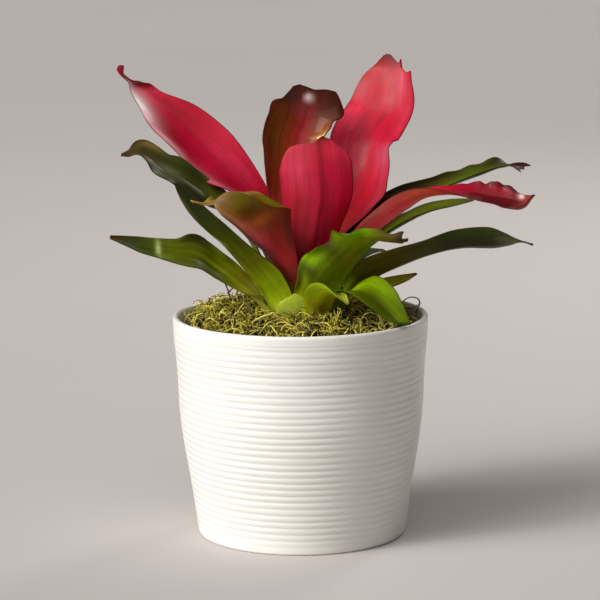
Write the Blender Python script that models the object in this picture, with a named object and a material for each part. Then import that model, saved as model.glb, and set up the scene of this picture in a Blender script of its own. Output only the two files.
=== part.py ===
"""Potted bromeliad.

A ribbed white ceramic pot holds soil and a mat of moss.  A rosette of strap leaves stands on a
short stem: red leaves in the middle, green ones outside.  Lengths are millimetres until
make_object turns them into metres.  +Z is up and +X is the viewer's right.  The origin is on the
pot's axis, at its underside.
"""

import math

import bmesh
import bpy
import numpy as np
from mathutils import Vector, noise

MM = 0.001
GAP = 0.3

# Pot
POT_HEIGHT = 138.8
POT_FLOOR = 6.0
POT_WALL = 4.2
POT_SEGMENTS = 36
# Height and radius up the outer wall, from the foot's round to the lip's
POT_OUTLINE = ((2.0, 65.7), (16.0, 67.6), (37.0, 70.7), (57.0, 74.0), (78.0, 76.5),
               (100.0, 77.5), (114.0, 78.4), (124.0, 79.4), (136.0, 79.9))
INNER_HEIGHTS = (40.0, 78.0, 110.0)
FLOOR_CHAMFER = 3.0
FOOT_ROUND = 2.0
LIP_ROUND = 1.9
RIB_COUNT = 30
RIB_LOW = 5.0
RIB_PITCH = 4.15
RIB_DEPTH = 0.45
BAND_SHOULDER = 1.2

# Soil and stem
SOIL_TOP = 122.0
SOIL_SHOULDER = 2.0
STEM_SEGMENTS = 32
STEM_RADIUS = 10.0
STEM_DEPTH = 30.0
STEM_FOOT = 2.0
CROWN_RADIUS = 29.0
CROWN_TOP = 124.0
CROWN_ROUND = 0.8

# Moss: a ring whose top falls from the leaves to the wall, with one mound at the back left
MOSS_HOLE = 30.0
MOSS_SEGMENTS = 56
MOSS_INSET = 1.5
MOSS_SPANS = (0.0, 0.08, 0.2, 0.34, 0.48, 0.62, 0.76, 0.9, 1.0)
MOSS_HEIGHT = 140.0
MOSS_FALL = 7.5
MOSS_MOUND = (-38.0, 34.0, 4.0, 500.0)  # x, y, height, spread squared
MOSS_LUMP = 2.6

# Leaves
LEAF_THICKNESS = 0.9
WIDE_LEAF = 17.0      # half width from which a leaf has more columns
WAVE_START = 0.3      # share of the length that stays unwaved
TIP_CROWDING = 1.25   # over 1, the stations lie closer together towards the tip
CENTRING = 0.5        # how far the free blade's arc is lowered, so that the table gives its middle
WRAP = None           # the leaf's section follows the circle round the plant's axis

WHITE = (0.8, 0.78, 0.74)
SOIL_BROWN = (0.05, 0.035, 0.02)
STEM_GREEN = (0.35, 0.38, 0.12)
MOSS_GREEN = (0.32, 0.33, 0.06)
RED = (0.46, 0.012, 0.05)
DARK_RED = (0.16, 0.02, 0.02)
OLIVE_RED = (0.26, 0.05, 0.02)
GREEN = (0.09, 0.19, 0.012)
DARK_GREEN = (0.03, 0.075, 0.008)
PALE_GREEN = (0.32, 0.42, 0.09)

# Each leaf: heading in degrees (0 right, 90 back), colour, margin wave (height, waves, phase),
# then its stations from foot to tip: out from the axis along the heading, up from the crown,
# aside (counter-clockwise), half width, gutter (half angle of the section's arc) and roll.
LEAVES = {
    "leaf_heart_right": (15, DARK_RED, (0.0, 1, 0), (
        (4.5, 0, 0, 5, WRAP, 0), (4.5, 20, 0, 6, WRAP, 0), (5, 40, 0, 6, 50, 0),
        (7, 56, 0, 5, 40, 0), (9, 66, 0, 1.2, 20, 0))),
    "leaf_heart_left": (195, DARK_RED, (0.0, 1, 0), (
        (4.5, 0, 0, 5, WRAP, 0), (4.5, 20, 0, 6, WRAP, 0), (5, 36, 0, 6, 50, 0),
        (6, 48, 0, 5, 40, 0), (7, 57, 0, 1.2, 20, 0))),
    "leaf_red_front": (278, RED, (0.6, 1.5, 0.2), (
        (9, 0, 0, 10, WRAP, 0), (9, 25, 2, 12, WRAP, 0), (12, 50, 4, 16, 60, 0),
        (18, 75, 6, 21, 50, 0), (22, 95, 8, 24, 42, 0), (24, 108, 7, 24, 38, 0),
        (24.5, 120, 6, 22, 32, 0), (25, 129, 6, 17, 26, 0))),
    "leaf_dark_back": (97, DARK_RED, (1.2, 1.5, 0.1), (
        (9, 0, 0, 10, WRAP, 0), (9, 30, 2, 11, WRAP, 0), (12.5, 60, 3, 13, WRAP, 0),
        (23, 90, 2, 18, 48, 0), (36, 118, -2, 22, 44, 0), (43, 135, -8, 23, 38, 0),
        (46, 144, -10, 21, 28, 0), (48, 154, -9, 12, 12, 0))),
    "leaf_red_left": (152, RED, (0.8, 1.5, 0.4), (
        (12, 0, 0, 9, WRAP, 0), (13.5, 30, 0, 11, WRAP, 0), (19, 60, 0, 12, WRAP, 0),
        (30, 83, 0, 14, 38, -8), (48, 101, 0, 17, 42, -24), (67, 116, 0, 20, 42, -32),
        (86, 131, 0, 18, 40, -32), (105, 144, 0, 11, 45, -30), (116, 152, 0, 8, 50, -24),
        (122, 156, 0, 3, 50, -15), (127, 160, 0, 3, 40, 0), (131, 165, 0, 0.8, 10, 0))),
    "leaf_red_right": (52, RED, (1.6, 1.5, 0.3), (
        (12, 0, 0, 9, WRAP, 0), (13.5, 28, 0, 11, WRAP, 0), (23, 55, 0, 15, WRAP, 0),
        (39, 79, -2, 20, 42, 5), (54, 98, -5, 22, 36, 8), (64, 119, -2, 23, 30, 10),
        (79, 137, -6, 25, 26, 10), (86, 153, -5, 22, 20, 8), (91, 164, -5, 16, 12, 5),
        (93, 171, -4, 10, 6, 5))),
    "leaf_red_low_left": (225, OLIVE_RED, (1.2, 1.5, 0.0), (
        (14, 0, 0, 10, WRAP, 0), (15, 28, 0, 11, WRAP, 0), (20, 49, 0, 15, WRAP, 0),
        (30, 67, -1, 18.5, 48, 20), (42, 80, -1, 17, 42, 34), (56, 89, 0, 12, 40, 42),
        (68, 93, 0, 7, 40, 40), (78, 92, 0, 5, 30, 20), (91, 95, 0, 1.0, 10, 0))),
    "leaf_red_low_right": (342, RED, (1.5, 3.0, 0.3), (
        (17.5, 0, 0, 8, WRAP, 0), (18, 24, 0, 9, WRAP, 0), (25, 43, 0, 11, 40, 0),
        (37, 60, 0, 13, 40, -8), (50, 73, 0, 14, 38, -18), (64, 84, 0, 15, 35, -20),
        (79, 92, 0, 14, 35, -8), (95, 95, 0, 11, 40, 5), (109, 95, 0, 11, 38, 18),
        (122, 93, 0, 11, 35, 24), (134, 91, 0, 11, 30, 30), (143, 90, 0, 9, 25, 28),
        (149, 94, 0, 1.2, 10, 20))),
    "leaf_green_upper_left": (181, GREEN, (1.4, 2.0, 0.1), (
        (16.8, 0, 0, 8, WRAP, 0), (18, 28, 0, 9, WRAP, 0), (26, 52, -5, 9, 32, 0),
        (37, 72, -7, 10, 34, -10), (49, 86, -4, 11, 32, -25), (61, 95, -1, 11, 28, -33),
        (71, 102, 0, 11, 26, -36), (83, 108, 0, 11, 26, -38), (92, 115, 0, 10, 28, -34),
        (99, 118, 0, 9, 30, -25), (105, 116, 0, 4, 20, -20), (110, 115, 0, 2, 15, 0))),
    "leaf_green_mid_left": (206, DARK_GREEN, (0.8, 1.5, 0.3), (
        (18, 0, 6, 10, WRAP, 0), (19, 22, 5, 12, WRAP, 0), (26, 38, 3, 14, 35, 2),
        (36, 50, 1, 12, 32, 0), (47, 62, 0, 11, 30, -2), (57, 71, 0, 12, 30, -2),
        (67, 81, 0, 10, 30, 0), (76, 92, 0, 6, 30, 0), (83, 102, 0, 1.2, 10, 0))),
    "leaf_green_low_left": (192, GREEN, (1.4, 2.0, 0.2), (
        (22, 0, 0, 9, WRAP, 0), (22, 14, 0, 11, WRAP, 0), (27, 26, 0, 14, 32, -8),
        (40, 37, 0, 16, 30, -24), (53, 46, 0, 15, 26, -30), (64, 54, 0, 15, 26, -30),
        (77, 57, 0, 14, 26, -30), (89, 59, 0, 12, 28, -30), (100, 61, 0, 10, 28, -30),
        (110, 64, 0, 6, 25, -25), (119, 67, 0, 1.0, 10, -20))),
    "leaf_green_front": (312, GREEN, (1.4, 2.0, 0.4), (
        (19.6, 0, -7.6, 12, WRAP, 0), (19.6, 20, -7.6, 13, WRAP, 0), (22, 36, -7, 16, 42, -5),
        (31, 50, -3, 16, 38, -15), (41, 59, 0, 12, 35, -12), (52, 67, 0, 11, 32, -14),
        (63, 70, 0, 8, 32, -12), (75, 70, 0, 6, 32, -10), (84, 70, 0, 4, 30, -10),
        (90, 71, 0, 4.5, 30, -10), (95, 73, 0, 3, 20, -10))),
    "leaf_green_long_right": (352, DARK_GREEN, (1.0, 1.5, 0.1), (
        (23.4, 0, 0, 9, WRAP, 0), (24, 16, 0, 10, WRAP, 0), (30, 30, 1, 12, 34, -4),
        (45, 42, 0, 18, 38, -26), (63, 50, 0, 16, 30, -28), (81, 56, 0, 15, 26, -26),
        (100, 61, 0, 15, 28, -28), (117, 62, 0, 16, 28, -28), (129, 62, 0, 10, 25, -25),
        (138, 62, 0, 3, 15, -10), (145, 60, 0, 1.0, 10, 5))),
    "leaf_green_back_right": (22, GREEN, (1.2, 2.0, 0.5), (
        (15, 0, 0, 7, WRAP, 0), (17, 28, 0, 9, WRAP, 0), (27, 50, 0, 10, 45, 0),
        (40, 66, 0, 11, 40, 0), (56, 79, 0, 12, 40, 5), (73, 86, 0, 12, 40, 5),
        (91, 89, 0, 11, 40, 3), (108, 93, 0, 10, 40, 3), (124, 97, 0, 9, 38, 6),
        (138, 101, 0, 8, 30, 18), (148, 100, 0, 3, 20, 0), (154, 99, 0, 4, 20, -20),
        (160, 98, 0, 3, 20, -30))),
    "leaf_green_mid_right": (4, GREEN, (0.8, 2.0, 0.0), (
        (19.7, 0, 0, 7, WRAP, 0), (20.5, 22, 0, 8, WRAP, 0), (28, 40, 0, 10, 40, 0),
        (39, 54, 0, 11, 35, 0), (53, 65, 0, 12, 30, 5), (67, 73, 0, 11, 30, 5),
        (80, 79, 0, 9, 30, 8), (94, 82, 0, 6, 25, 8), (109, 84, 0, 1.0, 10, 5))),
    "leaf_green_small_right": (14, GREEN, (0.4, 1.0, 0.0), (
        (26, 0, 0, 7, WRAP, 0), (26, 13, 0, 8, WRAP, 0), (31, 22, 0, 9, 35, 0),
        (42, 27, 0, 9, 30, 5), (55, 30, 0, 9, 30, 8), (67, 33, 0, 6, 25, 8),
        (76, 36, 0, 1.0, 10, 5))),
    "leaf_green_drooping": (322, GREEN, (0.5, 1.0, 0.2), (
        (25.6, 0, 0, 8, WRAP, 0), (26, 14, 0, 9, WRAP, 0), (31, 26, -1, 10, 32, 0),
        (39, 34, 0, 13, 30, 5), (49, 36, 0, 15, 26, 12), (60, 31, 0, 14, 24, 12),
        (69, 24, 0, 11, 24, 10), (77, 18, 0, 7, 22, 8), (84, 16.5, 0, 1.2, 10, 0))),
    "leaf_green_short_front": (290, GREEN, (0.4, 1.0, 0.2), (
        (27.8, 0, 0, 8, WRAP, 0), (28.5, 15, 0, 9, WRAP, 0), (33, 27, 0, 10, 30, -10),
        (40, 35, 1, 11, 28, -12), (46, 36, 4, 10, 28, -8), (52, 33, 7, 7, 25, 0),
        (57, 29, 10, 1.2, 10, 0))),
    "leaf_sheath_front": (264, PALE_GREEN, (0.0, 1.0, 0.0), (
        (23, 0, 0, 10, WRAP, 0), (23, 14, 0, 12, WRAP, 0), (24, 22, 0, 12, 32, 0),
        (26, 28, 0, 10, 28, 0), (27, 32, 0, 7, 24, 0))),
    "leaf_green_back_left": (122, GREEN, (0.8, 1.5, 0.2), (
        (14.6, 0, 0, 8, WRAP, 0), (15.5, 26, 0, 10, WRAP, 0), (23, 46, 0, 13, 45, 0),
        (36, 62, 0, 16, 38, 0), (54, 74, 0, 16, 32, 0), (74, 80, 0, 14, 30, 0),
        (92, 80, 0, 9, 28, 0), (106, 77, 0, 1.2, 10, 0))),
    "leaf_green_back_middle": (84, GREEN, (0.8, 1.5, 0.6), (
        (18, 0, 0, 9, WRAP, 0), (19, 24, 0, 11, WRAP, 0), (26, 42, 0, 13, 45, 0),
        (39, 55, 0, 15, 38, 0), (57, 64, 0, 15, 32, 0), (77, 67, 0, 12, 30, 0),
        (94, 64, 0, 7, 28, 0), (105, 60, 0, 1.2, 10, 0))),
    "leaf_green_back_low": (54, GREEN, (0.8, 1.5, 0.4), (
        (23, 0, 0, 9, WRAP, 0), (24, 15, 0, 10, WRAP, 0), (31, 28, 0, 12, 40, 0),
        (45, 38, 0, 13, 32, 0), (62, 43, 0, 12, 30, 0), (79, 44, 0, 8, 28, 0),
        (94, 42, 0, 1.2, 10, 0))),
}


def clear_scene():
    for old in list(bpy.data.objects):
        bpy.data.objects.remove(old, do_unlink=True)


def make_material(name, colour, roughness):
    material = bpy.data.materials.new(name)
    material.use_nodes = True
    shader = material.node_tree.nodes["Principled BSDF"]
    shader.inputs["Base Color"].default_value = (*colour, 1.0)
    shader.inputs["Roughness"].default_value = roughness
    shader.inputs["Metallic"].default_value = 0.0
    return material


def make_object(name, points, faces, colour, roughness):
    """One closed mesh, given in millimetres, as an object in metres with its own material."""
    mesh = bpy.data.meshes.new(name)
    mesh.from_pydata([Vector(point) * MM for point in points], [], faces)
    work = bmesh.new()
    work.from_mesh(mesh)
    bmesh.ops.recalc_face_normals(work, faces=work.faces)
    work.to_mesh(mesh)
    work.free()
    mesh.shade_smooth()
    mesh.set_sharp_from_angle(angle=math.radians(40))
    made = bpy.data.objects.new(name, mesh)
    made.data.materials.append(make_material(name, colour, roughness))
    bpy.context.scene.collection.objects.link(made)
    return made


def turned(profile, segments):
    """Points and faces of a closed turned body; the profile starts and ends on the axis."""
    points = [(0.0, 0.0, profile[0][1])]
    rings = []
    for radius, height in profile[1:-1]:
        rings.append(len(points))
        for step in range(segments):
            angle = 2 * math.pi * step / segments
            points.append((radius * math.cos(angle), radius * math.sin(angle), height))
    points.append((0.0, 0.0, profile[-1][1]))
    faces = []
    for step in range(segments):
        after = (step + 1) % segments
        faces.append((0, rings[0] + after, rings[0] + step))
        for low, high in zip(rings, rings[1:]):
            faces.append((low + step, low + after, high + after, high + step))
        faces.append((rings[-1] + step, rings[-1] + after, len(points) - 1))
    return points, faces


def arc(centre, radius, start, end, steps):
    """Points of an arc in the profile's plane, with its angles in degrees."""
    out = []
    for step in range(steps + 1):
        angle = math.radians(start + (end - start) * step / steps)
        out.append((centre[0] + radius * math.cos(angle), centre[1] + radius * math.sin(angle)))
    return out


def smooth_through(knots, values, at, level=False):
    """A cubic through values at knots; with level set it never swings past a value."""
    knots, values = np.asarray(knots, float), np.asarray(values, float)
    widths = np.diff(knots)
    slopes = np.diff(values) / widths
    ends = np.empty(len(knots))
    ends[0], ends[-1] = slopes[0], slopes[-1]
    ends[1:-1] = (slopes[:-1] * widths[1:] + slopes[1:] * widths[:-1]) / (widths[1:] + widths[:-1])
    if level:
        limit = 2 * np.minimum(abs(slopes[:-1]), abs(slopes[1:]))
        turning = slopes[:-1] * slopes[1:] <= 0
        ends[1:-1] = np.where(turning, 0.0, np.clip(ends[1:-1], -limit, limit))
    place = np.clip(np.searchsorted(knots, at, side="right") - 1, 0, len(widths) - 1)
    width = widths[place]
    u = (at - knots[place]) / width
    return ((1 + 2 * u) * (1 - u) ** 2 * values[place] + u * (1 - u) ** 2 * width * ends[place]
            + u * u * (3 - 2 * u) * values[place + 1] - u * u * (1 - u) * width * ends[place + 1])


def outer_radius(height):
    """The pot's outer radius over its ribs."""
    heights = [row[0] for row in POT_OUTLINE]
    radii = [row[1] for row in POT_OUTLINE]
    return float(smooth_through(heights, radii, np.array([height]), level=True)[0])


def pot_profile():
    """The pot's section, from the middle of its underside over the lip to its floor."""
    foot, top = POT_OUTLINE[0][1], POT_OUTLINE[-1][1]
    profile = [(0.0, 0.0)]
    profile += arc((foot - FOOT_ROUND, FOOT_ROUND), FOOT_ROUND, -90, 0, 3)
    for rib in range(RIB_COUNT):
        groove = RIB_LOW + RIB_PITCH * rib
        crest = groove + RIB_PITCH / 2
        profile.append((outer_radius(groove) - RIB_DEPTH, groove))
        profile.append((outer_radius(crest), crest))
    band = RIB_LOW + RIB_PITCH * RIB_COUNT
    profile.append((outer_radius(band) - RIB_DEPTH, band))
    profile.append((outer_radius(band + BAND_SHOULDER), band + BAND_SHOULDER))
    profile += arc((top - LIP_ROUND, POT_HEIGHT - LIP_ROUND), LIP_ROUND, 0, 180, 5)
    for height in reversed(INNER_HEIGHTS):
        profile.append((outer_radius(height) - POT_WALL, height))
    corner = outer_radius(POT_FLOOR) - POT_WALL
    profile += [(corner, POT_FLOOR + FLOOR_CHAMFER), (corner - FLOOR_CHAMFER, POT_FLOOR),
                (0.0, POT_FLOOR)]
    return profile


def inner_radius(height):
    """The radius that fills the pot at a height and keeps the gap to its wall."""
    return outer_radius(height) - POT_WALL - GAP


def soil_profile():
    """The soil's section, from the middle of the pot's floor up to the hole for the stem."""
    floor = POT_FLOOR + GAP
    corner = inner_radius(POT_FLOOR)
    wall = inner_radius(SOIL_TOP) - GAP
    hole, hole_floor = STEM_RADIUS + GAP, SOIL_TOP - STEM_DEPTH - GAP
    profile = [(0.0, floor), (corner - FLOOR_CHAMFER, floor), (corner, floor + FLOOR_CHAMFER)]
    profile += [(inner_radius(height), height) for height in INNER_HEIGHTS]
    profile += [(wall, SOIL_TOP - SOIL_SHOULDER), (wall - SOIL_SHOULDER, SOIL_TOP)]
    profile += [(hole, SOIL_TOP), (hole, hole_floor), (0.0, hole_floor)]
    return profile


def stem_profile():
    """The stem's section: a foot that stands in the soil, and a flat crown for the leaves."""
    foot, under = SOIL_TOP - STEM_DEPTH, SOIL_TOP + GAP
    return [(0.0, foot), (STEM_RADIUS - STEM_FOOT, foot), (STEM_RADIUS, foot + STEM_FOOT),
            (STEM_RADIUS, under), (CROWN_RADIUS - CROWN_ROUND, under),
            (CROWN_RADIUS, under + CROWN_ROUND), (CROWN_RADIUS, CROWN_TOP), (0.0, CROWN_TOP)]


def moss_top(radius, angle):
    """Height of the moss's lumpy top."""
    x, y = radius * math.cos(angle), radius * math.sin(angle)
    span = (radius - MOSS_HOLE) / (inner_radius(SOIL_TOP) - MOSS_HOLE)
    mound_x, mound_y, mound_height, mound_spread = MOSS_MOUND
    away = (x - mound_x) ** 2 + (y - mound_y) ** 2
    body = MOSS_HEIGHT - MOSS_FALL * span ** 1.6 + mound_height * math.exp(-away / mound_spread)
    lump = noise.noise(Vector((x, y, 3.0)) / 9.0) + 0.6 * noise.noise(Vector((x, y, 8.0)) / 4.0)
    calm_edge = min(1.0, 6.0 * (1.0 - span))
    return body + MOSS_LUMP * calm_edge * lump


def moss_mesh():
    """Points and faces of a lumpy ring that lies on the soil round the leaves."""
    bottom = SOIL_TOP + GAP
    hole = MOSS_HOLE + MOSS_INSET
    wall = inner_radius(SOIL_TOP) - MOSS_INSET / 3
    step = 2 * math.pi / MOSS_SEGMENTS
    points = []
    for turn, span in enumerate(MOSS_SPANS):
        radius = hole + (wall - hole) * span
        for place in range(MOSS_SEGMENTS):
            angle = step * (place + 0.5 * (turn % 2))
            points.append((radius * math.cos(angle), radius * math.sin(angle),
                           moss_top(radius, angle)))
    for radius in (wall, MOSS_HOLE):
        for place in range(MOSS_SEGMENTS):
            points.append((radius * math.cos(step * place), radius * math.sin(step * place),
                           bottom))
    faces = []
    for first in range(0, len(points), MOSS_SEGMENTS):
        second = (first + MOSS_SEGMENTS) % len(points)
        for place in range(MOSS_SEGMENTS):
            after = (place + 1) % MOSS_SEGMENTS
            faces.append((first + place, first + after, second + after))
            faces.append((first + place, second + after, second + place))
    return points, faces


def leaf_sheet(heading, wave, rows, stations, columns):
    """Grid of points down the middle of a leaf's thickness, from foot to tip.

    Each section is an arc across the spine.  Its frame is carried up the spine without twist
    from a foot that faces the plant's axis, and the roll is added to it.
    """
    outward = np.array((math.cos(math.radians(heading)), math.sin(math.radians(heading)), 0.0))
    across = np.array((-outward[1], outward[0], 0.0))
    table = np.array([[np.nan if cell is None else cell for cell in row] for row in rows], float)
    wrapped = np.isnan(table[:, 4])
    from_axis = np.hypot(table[:, 0], table[:, 2])
    table[wrapped, 4] = np.degrees(table[wrapped, 3] / from_axis[wrapped])
    free = np.where(wrapped, 0.0, 1.0)
    knots = np.r_[0.0, np.cumsum(np.linalg.norm(np.diff(table[:, :3], axis=0), axis=1))]
    along = 1.0 - (1.0 - np.linspace(0.0, 1.0, stations)) ** TIP_CROWDING
    at = along * knots[-1]
    out, up, aside = (smooth_through(knots, table[:, column], at) for column in range(3))
    half, gutter, roll = (smooth_through(knots, table[:, column], at, level=True)
                          for column in (3, 4, 5))
    settle = CENTRING * smooth_through(knots, free, at, level=True)
    spine = (np.outer(out, outward) + np.outer(aside, across)
             + np.outer(CROWN_TOP + GAP + up, (0.0, 0.0, 1.0)))
    tangents = np.gradient(spine, at, axis=0)
    tangents[0] = (0.0, 0.0, 1.0)
    facing = -spine[0] * (1.0, 1.0, 0.0)
    grid = np.empty((stations, columns + 1, 3))
    spread = np.linspace(-1.0, 1.0, columns + 1)
    height, waves, phase = wave
    for row in range(stations):
        tangent = tangents[row] / np.linalg.norm(tangents[row])
        facing = facing - tangent * facing.dot(tangent)
        facing /= np.linalg.norm(facing)
        side = np.cross(facing, tangent)
        turn = math.radians(roll[row])
        wide = side * math.cos(turn) + facing * math.sin(turn)
        normal = facing * math.cos(turn) - side * math.sin(turn)
        bend = math.radians(max(gutter[row], 0.5))
        radius = half[row] / bend
        lift = np.sin(2 * math.pi * (waves * along[row] + phase + 0.3 * (spread > 0)))
        grown = min(1.0, max(0.0, (along[row] - WAVE_START) / WAVE_START))
        lift *= height * grown * spread ** 2
        lift -= settle[row] * radius * (1 - math.cos(bend))
        grid[row] = (spine[row] + np.outer(radius * np.sin(bend * spread), wide)
                     + np.outer(radius * (1 - np.cos(bend * spread)) + lift, normal))
    return grid


def thicken(grid, thickness):
    """Points and faces of a closed blade round a sheet, split alike on both faces."""
    stations, columns = grid.shape[:2]
    down = np.gradient(grid, axis=0)
    wide = np.gradient(grid, axis=1)
    normals = np.cross(wide, down)
    normals /= np.linalg.norm(normals, axis=2, keepdims=True)
    points = np.concatenate([(grid + normals * thickness / 2).reshape(-1, 3),
                             (grid - normals * thickness / 2).reshape(-1, 3)])
    back = stations * columns
    faces = []
    for row in range(stations - 1):
        for column in range(columns - 1):
            here = row * columns + column
            right, below = here + 1, here + columns
            for three in ((here, right, below + 1), (here, below + 1, below)):
                faces.append(three)
                faces.append(tuple(corner + back for corner in reversed(three)))
    rim = list(range(columns))
    rim += [row * columns + columns - 1 for row in range(1, stations)]
    rim += [(stations - 1) * columns + column for column in range(columns - 2, -1, -1)]
    rim += [row * columns for row in range(stations - 2, 0, -1)]
    for here, after in zip(rim, rim[1:] + rim[:1]):
        faces.append((here, here + back, after + back))
        faces.append((here, after + back, after))
    return points.tolist(), faces


def build_leaf(name, heading, colour, wave, rows):
    columns = 8 if max(row[3] for row in rows) > WIDE_LEAF else 6
    grid = leaf_sheet(heading, wave, rows, len(rows) + 5, columns)
    points, faces = thicken(grid, LEAF_THICKNESS)
    return make_object(name, points, faces, colour, 0.35)


def main():
    clear_scene()
    make_object("pot", *turned(pot_profile(), POT_SEGMENTS), WHITE, 0.35)
    make_object("soil", *turned(soil_profile(), POT_SEGMENTS), SOIL_BROWN, 0.95)
    make_object("stem", *turned(stem_profile(), STEM_SEGMENTS), STEM_GREEN, 0.6)
    make_object("moss", *moss_mesh(), MOSS_GREEN, 0.95)
    for name, (heading, colour, wave, rows) in LEAVES.items():
        build_leaf(name, heading, colour, wave, rows)


main()
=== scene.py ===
"""The looks of the potted bromeliad: fine leaves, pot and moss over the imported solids.

Lengths are millimetres until make_mesh turns them into metres.  The frame is the solids' own:
+Z up, +X to the viewer's right, and the origin on the pot's axis at its underside.
"""

import functools
from math import cos, exp, hypot, nan, pi, radians, sin, sqrt

import bpy
import numpy as np
from mathutils import Matrix, Vector, noise


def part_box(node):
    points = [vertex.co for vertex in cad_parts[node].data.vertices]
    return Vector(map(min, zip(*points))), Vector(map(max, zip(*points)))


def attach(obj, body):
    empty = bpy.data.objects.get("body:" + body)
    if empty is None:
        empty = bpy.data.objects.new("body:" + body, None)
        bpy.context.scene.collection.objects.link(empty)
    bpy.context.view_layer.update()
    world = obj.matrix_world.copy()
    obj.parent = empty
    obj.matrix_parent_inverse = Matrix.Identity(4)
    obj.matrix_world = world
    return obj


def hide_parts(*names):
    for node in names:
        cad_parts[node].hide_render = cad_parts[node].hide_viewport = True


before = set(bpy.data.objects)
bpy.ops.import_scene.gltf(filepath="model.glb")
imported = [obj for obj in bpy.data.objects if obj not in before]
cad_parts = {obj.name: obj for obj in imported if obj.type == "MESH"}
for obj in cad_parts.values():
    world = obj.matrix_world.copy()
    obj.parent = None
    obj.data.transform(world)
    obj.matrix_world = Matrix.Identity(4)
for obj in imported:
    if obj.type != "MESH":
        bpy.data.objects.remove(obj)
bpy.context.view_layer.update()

MM = 0.001
BODY = "root"
CIRCLE = 2 * pi
SMALLEST = 1e-9

# Per-point attributes by name: kind, and the member that takes the values
ATTRIBUTES = {"tint": ("FLOAT_COLOR", "color"), "blade": ("FLOAT_VECTOR", "vector"),
              "groove": ("FLOAT", "value")}


def node_box(node):
    """A CAD node's lowest and highest corners, in millimetres."""
    low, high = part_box(node)
    return np.array(low) / MM, np.array(high) / MM


def new_object(name, data):
    made = bpy.data.objects.new(name, data)
    bpy.context.scene.collection.objects.link(made)
    return made


def make_mesh(name, points, faces, **attributes):
    """A smooth mesh object, given in millimetres, with values for some of ATTRIBUTES."""
    mesh = bpy.data.meshes.new(name)
    points = np.reshape(points, (-1, 3)) * MM
    mesh.from_pydata(points.tolist(), [], faces if isinstance(faces, list) else faces.tolist())
    for title, values in attributes.items():
        kind, member = ATTRIBUTES[title]
        made = mesh.attributes.new(title, kind, "POINT")
        if kind == "FLOAT_COLOR":
            values = np.concatenate([values, np.ones((len(values), 1))], axis=1)
        made.data.foreach_set(member, values.ravel().astype(np.float32))
    mesh.shade_smooth()
    mesh.update()
    return new_object(name, mesh)


def ring_faces(rows, next_rows):
    """Quads between rows of point numbers and the rows after them, each row a closed ring."""
    corners = [rows, np.roll(rows, -1, axis=-1), np.roll(next_rows, -1, axis=-1), next_rows]
    return np.stack(corners, axis=-1).reshape(-1, 4)


def unit(vectors):
    """The vectors at length 1."""
    return vectors / np.maximum(np.linalg.norm(vectors, axis=-1, keepdims=True), SMALLEST)


def ramp(value, start, length):
    """How far a value is along a length from its start, from 0 to 1."""
    return np.clip((value - start) / length, 0.0, 1.0)


def lumps(x, y, layers):
    """Smooth noise over the pot, summed over layers (height in the noise, reach, share)."""
    return sum(share * noise.noise(Vector((x, y, height)) / reach)
               for height, reach, share in layers)


def columns_at(at, places, table):
    """The columns of a table, given at places, for every value of at."""
    return np.stack([np.interp(at, places, column) for column in table.T], axis=-1)


# ---- Tones: sRGB in 0 to 255, by name ----

TONES = {
    "crimson": (172, 8, 40), "wine": (98, 4, 16), "rose": (205, 52, 78), "brick": (150, 44, 36),
    "maroon": (74, 20, 16), "olive": (120, 104, 14), "ochre": (180, 128, 44),
    "cream": (236, 220, 176), "green": (80, 108, 8), "bright": (112, 142, 10),
    "lime": (156, 172, 30), "yellow_green": (176, 180, 50), "pale": (196, 198, 84),
    "dark_green": (48, 62, 6), "night_green": (28, 34, 5), "dry": (96, 60, 32),
    "dark": (26, 14, 8),
}


def linear(tone):
    """A tone's linear colour."""
    rgb = np.array(TONES[tone] if isinstance(tone, str) else tone, float) / 255.0
    return np.where(rgb <= 0.04045, rgb / 12.92, ((rgb + 0.055) / 1.055) ** 2.4)


# ---- Blades ----

WRAP = nan  # a gutter that follows the circle round the plant's axis
CENTRING = 0.5  # how far the free blade's arc is lowered
CROWN_GAP = 0.3
CROWN_TOP = node_box("stem")[1][2]
LINE_CELLS = 6  # in a row of a leaf's line, when none is left out
LINE_STEPS = 260
LEAST_GUTTER = 0.5
WAVE_START = 0.3  # where the margins begin to wave, and over what share the wave grows
WAVE_LAG = 0.3  # of one margin behind the other, as a share of a wave
FRILL_REACH = 1.6  # in wavelengths
CREASE_FADE = 0.1
STATION_STEP = 1.5  # along the blade
MORE_STATIONS = 20
COLUMN_STEP = 1.6  # across half the blade
MORE_COLUMNS = 13
MARGIN_CROWDING = 0.6
TIP_CROWDING = 1.25
CUT_POWER = 4  # how late the columns begin to feel the cut of the tip
SIDE_THICKNESS = 0.45  # on each side of the blade's middle surface
THIN_SHARE = 0.5  # share of it left at the margins
KEEL = 0.5  # share added in the middle of the foot
LOWER_MORE = 0.1


def smooth_through(knots, values, at, level=False):
    """A cubic through values at knots; with level set it never swings past a value."""
    knots, values = np.asarray(knots, float), np.asarray(values, float)
    widths = np.diff(knots)
    slopes = np.diff(values) / widths
    before, after = slopes[:-1], slopes[1:]
    ends = (before * widths[1:] + after * widths[:-1]) / (widths[1:] + widths[:-1])
    if level:
        limit = 2 * np.minimum(abs(before), abs(after))
        ends = np.where(before * after <= 0, 0.0, np.clip(ends, -limit, limit))
    ends = np.r_[slopes[0], ends, slopes[-1]]
    place = np.clip(np.searchsorted(knots, at, side="right") - 1, 0, len(widths) - 1)
    width = widths[place]
    u = (at - knots[place]) / width
    return ((1 + 2 * u) * (1 - u) ** 2 * values[place] + u * (1 - u) ** 2 * width * ends[place]
            + u * u * (3 - 2 * u) * values[place + 1] - u * u * (1 - u) * width * ends[place + 1])


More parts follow.
